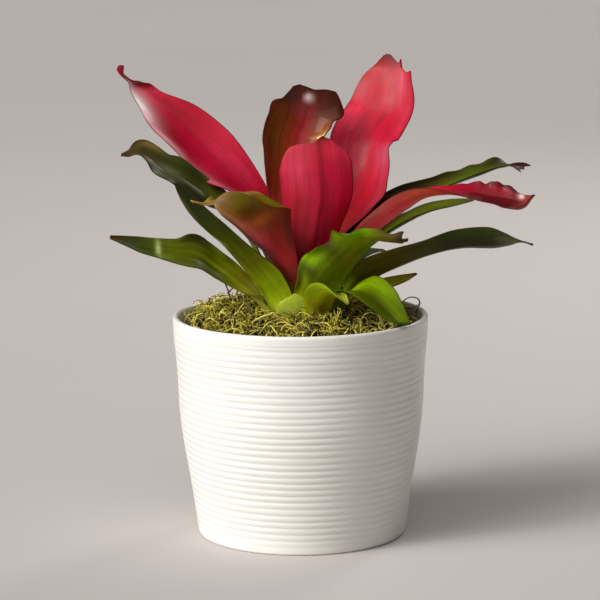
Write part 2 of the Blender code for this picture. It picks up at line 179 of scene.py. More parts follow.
def blade_line(heading, rows):
    """A blade's spine, its frame and its section's sizes, at even steps from foot to tip."""
    outward = np.array((cos(radians(heading)), sin(radians(heading)), 0.0))
    across = (-outward[1], outward[0], 0.0)
    out, up, half, gutter, roll, aside = np.array(
        [row + (0,) * (LINE_CELLS - len(row)) for row in rows], float).T
    wrapped = np.isnan(gutter)
    gutter[wrapped] = np.degrees(half[wrapped] / np.hypot(out, aside)[wrapped])
    steps = np.linalg.norm(np.diff(np.stack([out, up, aside], axis=1), axis=0), axis=1)
    knots = np.r_[0.0, np.cumsum(steps)]
    at = np.linspace(0.0, knots[-1], LINE_STEPS)
    out, up, aside = (smooth_through(knots, column, at) for column in (out, up, aside))
    half, gutter, roll = (smooth_through(knots, column, at, level=True)
                          for column in (half, gutter, roll))
    settle = CENTRING * smooth_through(knots, np.where(wrapped, 0.0, 1.0), at, level=True)
    spine = (np.outer(out, outward) + np.outer(aside, across)
             + np.outer(CROWN_TOP + CROWN_GAP + up, (0.0, 0.0, 1.0)))
    tangents = np.gradient(spine, at, axis=0)
    tangents[0] = (0.0, 0.0, 1.0)
    facing = -spine[0] * (1.0, 1.0, 0.0)
    wide, normal = np.empty_like(spine), np.empty_like(spine)
    for step, tangent in enumerate(tangents):
        tangent = tangent / np.linalg.norm(tangent)
        facing = facing - tangent * facing.dot(tangent)
        facing /= np.linalg.norm(facing)
        side = np.cross(facing, tangent)
        turn = radians(roll[step])
        wide[step] = side * cos(turn) + facing * sin(turn)
        normal[step] = facing * cos(turn) - side * sin(turn)
    return dict(at=at / knots[-1], length=knots[-1], spine=spine, wide=wide, normal=normal,
                half=half, bend=np.radians(np.maximum(gutter, LEAST_GUTTER)), settle=settle)


def soft(distance, reach):
    """A bell of height 1 round distance 0."""
    return np.exp(-(distance / reach) ** 2)


def blade_points(line, along, spread, leaf):
    """Points in the middle of the blade's thickness, at shares of its length and half width.

    A row's section is an arc with rolled margins, summed up outward from its middle column.
    """
    def read(name):
        return np.interp(along, line["at"], line[name])

    def read_vector(name):
        return columns_at(along, line["at"], line[name])

    def summed(part):
        """The sum of a quantity per share of half width, outward from the middle column."""
        mean = 0.5 * part[:, 1:] + 0.5 * part[:, :-1]
        total = np.pad(np.cumsum(mean * np.diff(spread, axis=1), axis=1), ((0, 0), (1, 0)))
        middle = spread.shape[1] // 2
        return total - total[:, middle:middle + 1]

    half, bend = read("half"), read("bend")
    places, low, high = zip((0, 1, 1), *leaf.get("margins", ((1, 1, 1),)))
    low, high = (smooth_through(places, side, along, level=True) for side in (low, high))
    half = half * np.where(spread > 0, high, low)
    for place, side, reach, share in leaf.get("nicks", ()):
        half = half * (1 - share * soft(along - place, reach) * (spread * side > 0))
    angle = bend * spread
    for place, side, reach, start, degrees in leaf.get("curls", ()):
        rolled = ramp(side * spread, start, 1.0 - start)
        rolled = rolled * rolled * (3 - 2 * rolled)
        angle = angle + side * radians(degrees) * soft(along - place, reach) * rolled
    aside, lift = summed(half * np.cos(angle)), summed(half * np.sin(angle))
    height, waves, phase = leaf["wave"]
    wave = np.sin(CIRCLE * (waves * along + phase + WAVE_LAG * (spread > 0)))
    lift = lift + height * ramp(along, WAVE_START, WAVE_START) * wave * spread ** 2
    lift = lift - read("settle") * read("half") / bend * (1 - np.cos(bend))
    for place, reach, size, phase, side in leaf.get("frills", ()):
        frill = np.sin(CIRCLE * (along / reach + phase)) * np.abs(spread) ** 3
        lift = lift + size * frill * soft(along - place, reach * FRILL_REACH) * (spread * side > 0)
    for place, across, reach, width, rise in leaf.get("bumps", ()):
        lift = lift + rise * soft(along - place, reach) * soft(spread - across, width)
    for across, width, depth, start, end in leaf.get("creases", ()):
        grown = ramp(along, start, CREASE_FADE) * ramp(end, along, CREASE_FADE)
        lift = lift - depth * grown * np.exp(-np.abs(spread - across) / width)
    return (read_vector("spine") + aside[..., None] * read_vector("wide")
            + lift[..., None] * read_vector("normal"))


def paint(leaf, face, along, spread):
    """Colours of a blade's face: bands from foot to tip, then soft strokes over them; some are
    painted light.
    """
    places, tones = zip(*leaf[face])
    colour = columns_at(along, places, np.array([linear(tone) for tone in tones]))
    strokes = [*leaf.get(face + "+", ()), *leaf.get("both+", ())]
    for place, across, reach, width, tone, strength in strokes:
        cover = strength * soft(along - place, reach) * soft(spread - across, width)
        colour = colour + (linear(tone) - colour) * cover[..., None]
    return colour.reshape(-1, 3)


def build_blade(name, leaf):
    """One fine leaf in place of its solid."""
    line = blade_line(leaf["heading"], leaf["line"])
    stations = int(line["length"] / STATION_STEP) + MORE_STATIONS
    columns = 2 * int(max(line["half"]) / COLUMN_STEP) + MORE_COLUMNS
    crowded = np.sin(np.linspace(-pi / 2, pi / 2, columns))
    across = MARGIN_CROWDING * crowded + (1 - MARGIN_CROWDING) * np.linspace(-1, 1, columns)
    cut = np.interp(across, *zip(*leaf.get("end", ((-1, 0), (1, 0)))))
    base = (1.0 - (1.0 - np.linspace(0.0, 1.0, stations)) ** TIP_CROWDING)[:, None]
    along = base * (1.0 - cut * base ** CUT_POWER)
    spread = np.broadcast_to(across, along.shape)
    grid = blade_points(line, along, spread, leaf)
    normals = unit(np.cross(np.gradient(grid, axis=0), np.gradient(grid, axis=1)))
    swell = 1 - spread ** 2
    thick = THIN_SHARE + (1 - THIN_SHARE) * swell + KEEL * swell * (1 - along) ** 3
    upper = grid + normals * (thick * SIDE_THICKNESS)[..., None]
    lower = grid - normals * (thick * SIDE_THICKNESS + LOWER_MORE)[..., None]
    back = stations * columns
    number = np.arange(back).reshape(stations, columns)
    quads = np.stack([number[:-1, :-1], number[:-1, 1:], number[1:, 1:], number[1:, :-1]],
                     axis=-1).reshape(-1, 4)
    rim = np.concatenate([number[0, :], number[1:, -1], number[-1, -2::-1], number[-2:0:-1, 0]])
    after = np.roll(rim, -1)
    faces = np.concatenate([quads[:, ::-1], quads + back,
                            np.stack([after, after + back, rim + back, rim], 1)])
    tint = np.concatenate([paint(leaf, face, along, spread) for face in ("upper", "lower")])
    half = np.interp(along, line["at"], line["half"])
    place = np.stack([spread, along * line["length"], spread * half], axis=-1)
    piece = make_mesh(name + "_fine", [upper, lower], faces, tint=tint,
                      blade=np.stack([place, place]))
    piece.data.materials.append(leaf_material(leaf["slot"]))
    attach(piece, BODY)
    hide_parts(name)


# ---- Materials ----

NOISE_RANGE = (0.3, 0.7)


class Nodes:
    """Short ways to add and join shader nodes of one material."""

    def __init__(self, name):
        self.material = bpy.data.materials.new(name)
        self.material.use_nodes = True
        self.tree = self.material.node_tree
        self.shader = self.tree.nodes["Principled BSDF"]

    def put(self, socket, value):
        if isinstance(value, bpy.types.NodeSocket):
            self.tree.links.new(value, socket)
        else:
            socket.default_value = value

    def add(self, kind, inputs, output=0, **settings):
        """A node with its named or numbered inputs given, and one of its outputs."""
        node = self.tree.nodes.new(kind)
        for key, value in settings.items():
            setattr(node, key, value)
        for key, value in inputs.items():
            self.put(node.inputs[key], value)
        return node.outputs[output]

    def surface(self, colour, roughness, bump=None, **constants):
        """The material, given its colour, roughness, bump (height, strength, distance) and more."""
        inputs = self.shader.inputs
        self.put(inputs["Base Color"], colour)
        self.put(inputs["Roughness"], roughness)
        if bump:
            relief = dict(zip(("Height", "Strength", "Distance"), bump))
            self.put(inputs["Normal"], self.add("ShaderNodeBump", relief, "Normal"))
        for key, value in constants.items():
            inputs[key.replace("_", " ")].default_value = value
        return self.material

    def math(self, operation, a, b=0.0):
        return self.add("ShaderNodeMath", {0: a, 1: b}, operation=operation)

    def remap(self, value, low, high, to_low=0.0, to_high=1.0):
        return self.add("ShaderNodeMapRange",
                        dict(enumerate((value, low, high, to_low, to_high))))

    def vary(self, value, to_low, to_high):
        """A noise's usual range stretched over a range of its own."""
        return self.remap(value, *NOISE_RANGE, to_low, to_high)

    def mix(self, share, a, b):
        """Two colours mixed, each a socket or a tone."""
        a, b = (colour if isinstance(colour, bpy.types.NodeSocket) else (*linear(colour), 1.0)
                for colour in (a, b))
        return self.add("ShaderNodeMix", {"Factor": share, "A": a, "B": b}, "Result",
                        data_type="RGBA")

    def attribute(self, name, output):
        return self.add("ShaderNodeAttribute", {}, output, attribute_name=name)

    def join(self, x, y, z=0.0):
        return self.add("ShaderNodeCombineXYZ", {0: x, 1: y, 2: z})

    def place(self):
        return self.add("ShaderNodeTexCoord", {}, "Object")

    def noise(self, vector, scale, detail=3.0, roughness=0.55):
        return self.add("ShaderNodeTexNoise", {"Vector": vector, "Scale": scale,
                                               "Detail": detail, "Roughness": roughness}, "Fac")

    def scaled(self, colour, factor):
        """A colour times a number."""
        return self.add("ShaderNodeVectorMath", {0: colour, "Scale": factor}, operation="SCALE")


# slot: (roughness, coat, coat roughness, vein contrast, margin tone, margin share, subsurface)
LEAF_FINISH = {
    "leaf_red": (0.52, 0.11, 0.22, 0.13, "maroon", 0.75, 0.08),
    "leaf_dark_red": (0.46, 0.26, 0.14, 0.2, "dark", 0.75, 0.04),
    "leaf_olive_red": (0.5, 0.1, 0.3, 0.14, "brick", 0.4, 0.06),
    "leaf_green": (0.5, 0.09, 0.3, 0.2, "night_green", 0.6, 0.05),
    "leaf_dark_green": (0.52, 0.07, 0.2, 0.2, "night_green", 0.6, 0.04),
    "leaf_pale_green": (0.5, 0.1, 0.34, 0.12, "green", 0.3, 0.08),
}
MARGIN = (0.955, 0.99)  # where the thin margin tone begins and where it is full
FLECKS = (0.7, 0.76)  # the same for the flecks, in their noise
FLECK_SHARE = 0.5
FLECK_SHADE = 0.55


@functools.cache
def leaf_material(slot):
    """A leaf's skin: the painted tint with lengthwise veins, mottling, flecks and a fine margin."""
    rough, coat, coat_rough, veins, margin_tone, margin_share, under = LEAF_FINISH[slot]
    n = Nodes(slot + "_skin")
    blade = n.attribute("blade", "Vector")
    spread, along, across = (n.add("ShaderNodeSeparateXYZ", {0: blade}, axis)
                             for axis in range(3))

    def lengthwise(per_across, per_along, layer, *texture):
        """Noise drawn out along the blade."""
        return n.noise(n.join(n.math("MULTIPLY", across, per_across),
                              n.math("MULTIPLY", along, per_along), layer), 1.0, *texture)

    streaks = lengthwise(1.4, 0.035, 0.0, 4.0, 0.6)
    broad = lengthwise(0.28, 0.02, 4.0, 2.0)
    mottle = n.noise(n.place(), 130.0)
    flecks = n.noise(n.place(), 900.0, 2.0, 0.7)
    shade = n.math("MULTIPLY", n.vary(streaks, 1.0 - veins, 1.0 + veins),
                   n.vary(broad, 1.0 - veins, 1.0 + veins))
    shade = n.math("MULTIPLY", shade, n.vary(mottle, 0.92, 1.08))
    tint = n.scaled(n.attribute("tint", "Color"), shade)
    fleck = n.remap(flecks, *FLECKS, 0.0, FLECK_SHARE)
    tint = n.mix(fleck, tint, n.scaled(tint, FLECK_SHADE))
    near_margin = n.remap(n.math("ABSOLUTE", spread), *MARGIN, 0.0, margin_share)
    tint = n.mix(near_margin, tint, margin_tone)
    gloss = n.remap(n.math("ADD", mottle, streaks), 0.7, 1.3, rough - 0.06, rough + 0.08)
    grain = n.math("ADD", n.math("MULTIPLY", streaks, 0.7), n.math("MULTIPLY", flecks, 0.3))
    return n.surface(tint, gloss, (grain, 0.35, 0.0004), Coat_Weight=coat,
                     Coat_Roughness=coat_rough, Subsurface_Weight=under, Subsurface_Scale=0.001,
                     Subsurface_Radius=(1.0, 0.35, 0.2), IOR=1.42, Specular_IOR_Level=0.14)


def glaze_material():
    """Warm white satin glaze, painted a little darker in the grooves as shade."""
    n = Nodes("pot_glaze")
    cloud = n.noise(n.place(), 22.0)
    speck = n.noise(n.place(), 700.0, 2.0, 0.6)
    white = n.mix(n.remap(cloud, 0.35, 0.65), (244, 242, 236), (240, 237, 230))
    # painted shade: the grooves are darkened by their depth
    groove = n.math("MULTIPLY", n.attribute("groove", "Fac"), 0.15)
    white = n.mix(groove, white, (200, 196, 186))
    white = n.mix(n.remap(speck, 0.72, 0.78, 0.0, 0.25), white, (190, 176, 156))
    fine = n.noise(n.place(), 380.0)
    return n.surface(white, n.vary(cloud, 0.3, 0.4), (fine, 0.12, 0.0003), Coat_Weight=0.25,
                     Coat_Roughness=0.18, IOR=1.5)


def strand_material(name, rough):
    """Dry moss: each strand's own tint with a little grain."""
    n = Nodes(name)
    grain = n.noise(n.place(), 1500.0, 2.0)
    tint = n.scaled(n.attribute("tint", "Color"), n.vary(grain, 0.8, 1.2))
    return n.surface(tint, n.vary(grain, rough - 0.1, rough + 0.1))


def earth_material(name, dark, light, scale=260.0):
    """Crumbly potting mix, the dark mat under the moss, or rough bark."""
    n = Nodes(name)
    crumb = n.noise(n.place(), scale, 5.0, 0.7)
    fibre = n.noise(n.place(), scale * 3.5, 3.0, 0.6)
    tone = n.mix(n.remap(crumb, 0.38, 0.66), dark, light)
    tone = n.mix(n.remap(fibre, 0.62, 0.7, 0.0, 0.5), tone, "olive")
    return n.surface(tone, n.vary(fibre, 0.85, 1.0), (crumb, 0.8, 0.002))


def stem_material():
    """Pale fibrous leaf bases and stem."""
    n = Nodes("stem_skin")
    fibre = n.noise(n.place(), 420.0, 4.0, 0.6)
    tone = n.mix(n.remap(fibre, 0.35, 0.65), "yellow_green", "pale")
    return n.surface(tone, n.vary(fibre, 0.5, 0.7), (fibre, 0.3, 0.0004))


# ---- Leaves ----

# A block for each leaf: its node and slot without leaf_, its heading in degrees (0 right, 90 back)
# and the wave of its margins (height, waves, phase), then its lists, from foot to tip.  A tone is
# a name or red/green/blue.
#   line     as in the solids: out from the axis, up from the crown, half width, gutter (half
#            angle of the arc, or W to follow the circle round the axis) and, if not 0, roll and
#            the distance aside (counter-clockwise)
#   upper, lower  bands of tone up a face: along, tone
#   upper+, lower+, both+  strokes over the bands: along, across, reach along, reach across,
#            tone, strength; most are the leaves' own marks, some are painted highlights,
#            glints, light and shade, as listed below
#   end      across, share of the length cut off there
#   margins  along, width of the low side, width of the high (counter-clockwise) side; 1 at the foot
#   curls    along, side, reach, start across, degrees: a margin rolled to the upper face
#   frills   along, wavelength, height, phase, side: a crimped margin
#   bumps    along, across, reach along, reach across, rise
#   creases  across, width, depth, start, end
#   nicks    along, side, reach, share of the width
# dark_back: the near-white dot at .945 sits on a bump and is a painted highlight.
# green_back_right: the dark strokes on its high side at .5, .68 and .88 are painted shade on the
# curled margin, and the pale tip is a painted highlight.
# green_drooping: its upper face is painted darker on the low half and brighter on the high half as
# painted shade and light, with a dark line down the crease as painted shade.
# green_front: on its lower face the bright strokes at .41 and .69 are painted light on the raised
# folds, and the dark ones at .345 and .5 are painted shade between them.
# green_low_left: the near-white foot is its pale base made paler as painted light against shade,
# and the pale line at .76 is a painted glint.
# green_mid_left: the pale stroke at .6 on the low margin is a painted glint.
# green_small_right: the palest upper bands, to .6 along, are its yellow-green made paler as painted
# light against shade.
# green_upper_left: the pale grey-green stroke at .8 in the middle is a painted sheen, and the
# near-black stroke on the high margin at .62 is painted shade.
# red_left: the pale and white strokes on its high margin, .54 to .9 along, are painted highlights.
# red_low_left: the salmon and pale strokes on the low side of its lower face, .43 to .7 along, are
# its own salmon margin made paler as painted light against shadow.
# red_low_right: the near-white dot at .945 is a painted highlight.
# red_right: the bright pink strokes at .6 and .72 on the high side are painted light over a cast
# shadow, and the pale ones at .62 and .9 on the low side are painted highlights.
LEAF_TABLE = """
heart_right dark_red 15 0 1 0
line: 4.5 0 5 W, 4.5 20 6 W, 5 40 6 50, 7 56 5 40, 9 66 1.2 20
upper: 0 wine, 1 crimson
lower: 0 wine, 1 crimson

heart_left dark_red 195 0 1 0
line: 4.5 0 5 W, 4.5 20 6 W, 5 36 6 50, 6 48 5 40, 7 57 1.2 20
upper: 0 wine, 1 crimson
lower: 0 wine, 1 crimson

red_front red 278 .6 1.5 .2
line: 9 0 10 W, 9 25 12 W 0 2, 12 50 16 60 0 4, 18 75 21 50 0 6, 22 95 24 42 0 8, 24 108 24 38 0 7,
  24.5 120 22 32 0 6, 25 129 17 26 0 6
upper: 0 wine, .5 crimson, .9 crimson, 1 brick
lower: 0 wine, .35 128/36/24, .5 134/24/26, .7 178/22/50, .85 190/26/54, .95 186/50/60, 1 120/44/36
lower+: .87 -.5 .13 .38 216/66/92 .85, .62 -.45 .16 .35 170/34/48 .7, .76 .6 .22 .5 252/26/76 .9,
  .93 .7 .08 .4 254/60/90 .8, .5 .6 .1 .45 244/36/76 .8, .62 .08 .3 .06 126/8/26 .5
both+: .992 0 .012 1.5 104/40/24 .8
end: -1 .1, -.92 .07, -.8 .052, -.55 .04, -.1 .035, .15 .012, .35 0, .45 .008, .75 .02, 1 .06
margins: .86 1 1, .93 .98 .96, .97 .9 .88, 1 .7 .72
creases: .05 .1 1 .45 1.1
curls: .7 1 .3 .8 -25

dark_back dark_red 97 1.2 1.5 .1
line: 9 0 10 W, 9 30 11 W 0 2, 12.5 60 13 W 0 3, 23 90 18 48 0 2, 36 118 22 44 0 -2,
  43 135 23 38 0 -8, 46 144 21 28 0 -10, 48 154 12 12 0 -9
upper: 0 wine, .45 214/70/80, .58 170/70/34, .72 136/52/10, .88 104/38/16, 1 46/24/12
lower: 0 crimson, .5 brick, .8 maroon, 1 56/32/12
upper+: .76 .65 .12 .3 116/66/4 .85, .6 .8 .12 .4 140/44/20 .7, .79 -.1 .12 .26 150/20/28 .9,
  .68 -.35 .1 .4 162/30/30 .85, .91 .02 .04 .32 134/44/50 .8, .96 .5 .06 .6 70/34/20 .8,
  .93 -.7 .06 .35 70/24/14 .9, .85 -.7 .03 .3 126/62/26 .8, .81 -.85 .025 .2 ochre .85,
  .79 -.92 .02 .12 cream .9, .945 -.1 .014 .1 244/220/214 .85
end: -1 .07, -.85 .045, -.6 .035, -.3 .03, -.05 .01, .15 0, .5 .004, .8 .025, 1 .06
margins: .7 1 1, .76 1 1.06, .82 .96 1.04, .87 .92 1, .93 1.2 1.03, 1 1.55 1.05
curls: .82 -1 .03 .55 40, .95 -1 .05 .4 -35
bumps: .945 -.1 .016 .12 1.2
nicks: .895 -1 .012 .1, .805 -1 .012 .25

red_left red 152 .8 1.5 .4
line: 12 0 9 W, 13.5 30 11 W, 19 60 12 W, 30 83 14 38 -8, 48 101 17 42 -24, 67 116 20 42 -32,
  86 131 18 40 -32, 105 144 11 45 -30, 116 152 8 50 -24, 122 156 3 50 -15, 127 160 3 40,
  131 165 .8 10
upper: 0 wine, .3 186/8/44, .6 186/4/46, .75 170/2/38, .88 184/26/56, .96 brick, 1 maroon
lower: 0 wine, .3 crimson, .7 rose, .9 brick, 1 maroon
upper+: .52 -.4 .12 .45 192/34/66 .7, .9 .5 .06 .6 254/160/170 .9, .87 .8 .08 .4 254/236/236 .95,
  .7 .95 .08 .16 254/210/210 .9, .68 .98 .1 .2 254/170/180 .9, .54 1 .08 .35 236/110/126 .95,
  .8 -.5 .1 .25 152/4/30 .6
lower+: .92 -.8 .03 .6 70/16/16 .9
both+: .975 .5 .02 1.2 136/14/30 .9
end: -1 .03, 0 .015, 1 .01
margins: .38 1 1, .45 1 1.15, .52 1 1.4, .59 1 1.28, .66 1 1.08, .72 1 1.1, .8 1 1.15, .86 .96 1,
  .9 1.05 .9, .925 1.6 .8, .95 .8 1.1, .968 .8 3.2, .985 .8 4.4, 1 .8 3
curls: .922 -1 .026 .1 150, .54 1 .07 .6 -35, .86 1 .1 .4 -45, .978 1 .02 .1 75

red_right red 52 1.6 1.5 .3
line: 12 0 9 W, 13.5 28 11 W, 23 55 15 W, 39 79 20 42 5 -2, 54 98 22 36 8 -5, 64 119 23 30 10 -2,
  79 137 25 26 10 -6, 86 153 22 20 8 -5, 91 164 16 12 5 -5, 93 171 10 6 5 -4
upper: 0 wine, .35 134/30/32, .45 136/4/24, .58 184/10/40, .7 182/10/46, .82 186/14/40,
  .93 178/10/34, 1 116/20/28
lower: 0 wine, .35 crimson, .8 rose, 1 brick
upper+: .6 .75 .12 .45 254/76/108 .9, .72 .75 .08 .45 250/58/90 .85, .9 -.55 .06 .3 202/74/92 .85,
  .8 -.8 .07 .25 178/46/68 .7, .62 -.75 .05 .3 186/78/104 .85, .5 -.85 .08 .25 166/54/68 .7,
  1 0 .02 1.5 90/12/20 .9, .985 -.5 .02 .4 maroon .6
end: -1 .055, -.75 .06, -.5 .045, -.44 .02, -.36 .035, -.1 .02, .1 .004, .35 0, .6 .006, .85 .02,
  1 .045
margins: .3 1.1 1, .42 1.55 1, .5 1.6 1, .56 1.25 1, .62 1.15 1, .68 1.3 1, .74 1.15 1, .8 1 1,
  .9 .96 1, 1 1 1
curls: .64 -1 .05 .5 30, .9 -1 .08 .3 20, .86 1 .1 .2 -16, .99 -1 .015 0 30

red_low_left olive_red 225 1.2 1.5 0
line: 14 0 10 W, 15 28 11 W, 20 49 15 W, 30 67 18.5 48 20 -1, 42 80 17 42 34 -1, 56 89 12 40 42,
  68 93 7 40 40, 78 92 5 30 20, 91 95 1 10
upper: 0 crimson, .45 brick, .6 132/66/14, .72 132/92/6, .82 146/134/44, 1 ochre
lower: 0 olive, .2 160/150/30, .27 150/60/36, .36 166/38/44, .48 160/36/38, .56 140/46/20,
  .65 128/62/14, .72 150/116/12, .8 190/144/84, .88 246/214/164, .94 186/156/82, 1 olive
upper+: .66 .8 .07 .5 112/120/8 .85, .73 .75 .04 .35 150/110/16 .7
lower+: .43 -.6 .16 .5 254/120/136 .95, .58 -.9 .1 .25 254/226/136 .95,
  .62 -.6 .08 .35 240/134/96 .9, .7 -.8 .06 .3 206/136/90 .8, .74 .7 .06 .5 150/150/6 .9,
  .52 .9 .16 .25 96/32/18 .8, .68 .1 .05 .4 106/58/12 .8, .6 .25 .03 .3 196/100/36 .7
margins: .28 .8 1, .4 .85 1, .52 .9 1.15, .6 .92 1.55, .68 1 1.7, .76 1.1 1.5, .84 1.2 1.3, 1 1 1
curls: .7 1 .12 .48 -165, .84 -1 .03 .1 90, .48 -1 .15 .6 35
bumps: .72 .75 .03 .3 2

red_low_right red 342 1.5 3 .3
line: 17.5 0 8 W, 18 24 9 W, 25 43 11 40, 37 60 13 40 -8, 50 73 14 38 -18, 64 84 15 35 -20,
  79 92 14 35 -8, 95 95 11 40 5, 109 95 11 38 18, 122 93 11 35 24, 134 91 11 30 30, 143 90 9 25 28,
  149 94 1.2 10 20
upper: 0 crimson, .6 176/24/44, .7 156/12/36, .8 96/14/22, .92 84/16/16, 1 150/60/50
lower: 0 crimson, .3 210/56/60, .42 250/72/86, .5 254/82/92, .6 230/66/54, .72 180/28/26,
  .9 120/30/34, 1 150/60/50
upper+: .76 .6 .07 .45 150/4/34 .9, .88 .6 .06 .4 140/8/24 .9, .7 -.5 .05 .4 94/4/8 .7,
  .89 .96 .05 .12 64/10/14 .9, .945 .75 .012 .25 250/220/214 .9
lower+: .62 -.8 .06 .25 222/100/66 .8, .48 -.9 .08 .2 250/136/124 .6
margins: .5 1.05 1.2, .6 1.05 1.3, .72 .95 1.1, .8 .72 1, .87 .75 1, .9 1 .86, .93 1.35 .62,
  .96 1.6 .66, 1 1 1
frills: .84 .06 1.1 .1 1, .83 .031 .5 .4 1
curls: .6 1 .07 .5 20, .88 1 .06 .5 25, .95 -1 .03 .2 25
creases: .25 .15 1.2 .72 1

green_upper_left green 181 1.4 2 .1
line: 16.8 0 8 W, 18 28 9 W, 26 52 9 32 0 -5, 37 72 10 34 -10 -7, 49 86 11 32 -25 -4,
  61 95 11 28 -33 -1, 71 102 11 26 -36, 83 108 11 26 -38, 92 115 10 28 -34, 99 118 9 30 -25,
  105 116 4 20 -20, 110 115 2 15
upper: 0 yellow_green, .3 lime, .5 150/160/60, .6 110/116/40, .7 60/60/12, .84 74/76/34,
  .92 74/62/24, 1 60/40/20
lower: 0 yellow_green, .3 green, .9 dark_green, 1 dry
upper+: .62 .8 .12 .45 34/34/3 .95, .8 0 .05 .2 130/136/96 .8, .8 -.5 .08 .25 56/60/14 .7,
  .7 -.5 .08 .35 46/54/3 .7, .71 .05 .05 .25 82/84/30 .6, .9 -.85 .05 .2 170/146/76 .7,
  .91 .6 .04 .35 140/116/58 .7
margins: .7 1 1, .78 1.2 1.05, .84 1 1.1, .92 1.1 .9, .965 .9 .9, 1 1 .8
curls: .94 -1 .04 .2 60, .62 -1 .08 .4 -40, .98 1 .02 0 -40, .66 1 .1 .3 -35
creases: .1 .12 .9 .55 .95
frills: .82 .13 1 .2 1

green_mid_left dark_green 206 .8 1.5 .3
line: 18 0 10 W 0 6, 19 22 12 W 0 5, 26 38 14 35 2 3, 36 50 12 32 0 1, 47 62 11 30 -2,
  57 71 12 30 -2, 67 81 10 30, 76 92 6 30, 83 102 1.2 10
upper: 0 yellow_green, .25 lime, .4 green, .7 dark_green, 1 night_green
lower: 0 240/236/90, .12 236/232/80, .21 150/170/12, .32 118/134/5, .42 92/94/4, .52 80/86/4,
  .62 76/84/4, .7 52/60/2, .88 32/38/1, 1 28/34/1
lower+: .2 -.3 .05 .4 178/200/28 .8, .3 -.6 .08 .35 154/156/22 .7, .4 -.5 .06 .35 130/138/8 .7,
  .6 -.65 .035 .35 178/188/120 .85, .88 -.85 .06 .35 80/92/20 .6
margins: .2 1 1.1, .38 .8 1.15, .5 .72 1.05, .6 .78 1, .75 .92 1, 1 1 1
curls: .55 -1 .12 .6 -30, .5 1 .2 .8 -30
creases: 0 .1 .8 .3 .95

green_low_left green 192 1.4 2 .2
line: 22 0 9 W, 22 14 11 W, 27 26 14 32 -8, 40 37 16 30 -24, 53 46 15 26 -30, 64 54 15 26 -30,
  77 57 14 26 -30, 89 59 12 28 -30, 100 61 10 28 -30, 110 64 6 25 -25, 119 67 1 10 -20
upper: 0 254/250/130, .15 254/250/92, .22 250/246/70, .3 206/202/28, .4 144/152/8, .5 98/110/3,
  .6 84/92/4, .7 88/98/5, .8 66/82/2, .9 62/68/4, 1 92/58/10
lower: 0 pale, .3 yellow_green, .5 green, .9 dark_green, 1 dry
upper+: .3 -.8 .06 .4 166/160/24 .8, .42 -.2 .12 .1 168/184/12 .7, .48 .05 .14 .07 80/90/4 .6,
  .48 .3 .18 .08 126/142/12 .6, .52 .55 .16 .08 84/96/4 .5, .58 -.9 .06 .25 50/48/8 .85,
  .76 0 .012 .8 206/220/130 .8, .72 .5 .05 .35 112/130/5 .7, .9 .55 .06 .3 100/108/8 .6
margins: .45 .95 1, .54 .93 1, .6 1.08 1, .67 .84 1, .75 .92 1, .85 .97 1, 1 1 1
curls: .6 -1 .05 .4 70, .46 -1 .08 .5 55
creases: .12 .1 1.2 .25 .9, -.35 .1 -.6 .3 .8

green_front green 312 1.4 2 .4
line: 19.6 0 12 W 0 -7.6, 19.6 20 13 W 0 -7.6, 22 36 16 42 -5 -7, 31 50 16 38 -15 -3,
  41 59 12 35 -12, 52 67 11 32 -14, 63 70 8 32 -12, 75 70 6 32 -10, 84 70 4 30 -10,
  90 71 4.5 30 -10, 95 73 3 20 -10
upper: 0 yellow_green, .35 bright, .6 76/82/8, .8 bright, .9 92/82/32, 1 dry
lower: 0 240/230/90, .12 246/236/90, .2 204/208/26, .27 112/118/5, .35 98/112/3, .42 90/104/3,
  .5 78/90/3, .6 90/104/4, .7 106/122/5, .8 94/102/14, .86 88/80/22, .93 78/58/22, 1 dark
lower+: .41 -.8 .05 .35 160/210/12 .9, .69 -.75 .08 .4 136/200/8 .9, .53 -.97 .05 .16 110/36/14 .8,
  .345 -.6 .02 .4 64/74/4 .85, .5 -.6 .04 .35 62/72/3 .8, .285 -.75 .03 .3 176/186/24 .8,
  .285 -.9 .012 .12 120/84/24 .8, .32 .7 .05 .4 166/154/4 .8, .5 .6 .1 .35 126/122/4 .7,
  .2 .85 .06 .35 252/250/70 .8
both+: .925 .95 .02 .4 cream .9
end: -1 0, -.5 .02, 0 .03, .4 0, 1 .02
margins: .15 .92 1.2, .28 .84 1.35, .37 1.02 1.15, .43 1 1, .5 .9 1, .6 1.3 1, .66 1.25 1,
  .72 1.2 1, .78 1.1 1, .83 1.3 1, .9 1 1, .925 1 2.4, .95 1 1, 1 .8 1
frills: .47 .2 1.4 .35 -1
curls: .68 -1 .06 .1 -75, .43 -1 .05 .4 -70, .3 -1 .05 .5 -60, .95 1 .03 0 60, .98 -1 .03 0 40

green_long_right dark_green 352 1 1.5 .1
line: 23.4 0 9 W, 24 16 10 W, 30 30 12 34 -4 1, 45 42 18 38 -26, 63 50 16 30 -28, 81 56 15 26 -26,
  100 61 15 28 -28, 117 62 16 28 -28, 129 62 10 25 -25, 138 62 3 15 -10, 145 60 1 10 5
upper: 0 yellow_green, .3 green, .6 dark_green, .95 112/120/70, 1 dark
lower: 0 yellow_green, .12 200/196/60, .21 190/180/16, .28 80/68/8, .4 84/74/4, .52 68/64/4,
  .66 46/50/5, .84 42/50/8, .93 94/96/58, 1 dark
lower+: .9 -.5 .05 .5 104/100/66 .6, .8 -.9 .14 .2 60/76/10 .7, .9 .5 .04 .35 54/50/26 .7,
  .3 .7 .06 .3 110/96/10 .5
margins: .6 1 1, .75 1.04 1.2, .85 1.05 1.2, 1 1 1
creases: .1 .12 .8 .3 .9

green_back_right green 22 1.2 2 .5
line: 15 0 7 W, 17 28 9 W, 27 50 10 45, 40 66 11 40, 56 79 12 40 5, 73 86 12 40 5, 91 89 11 40 3,
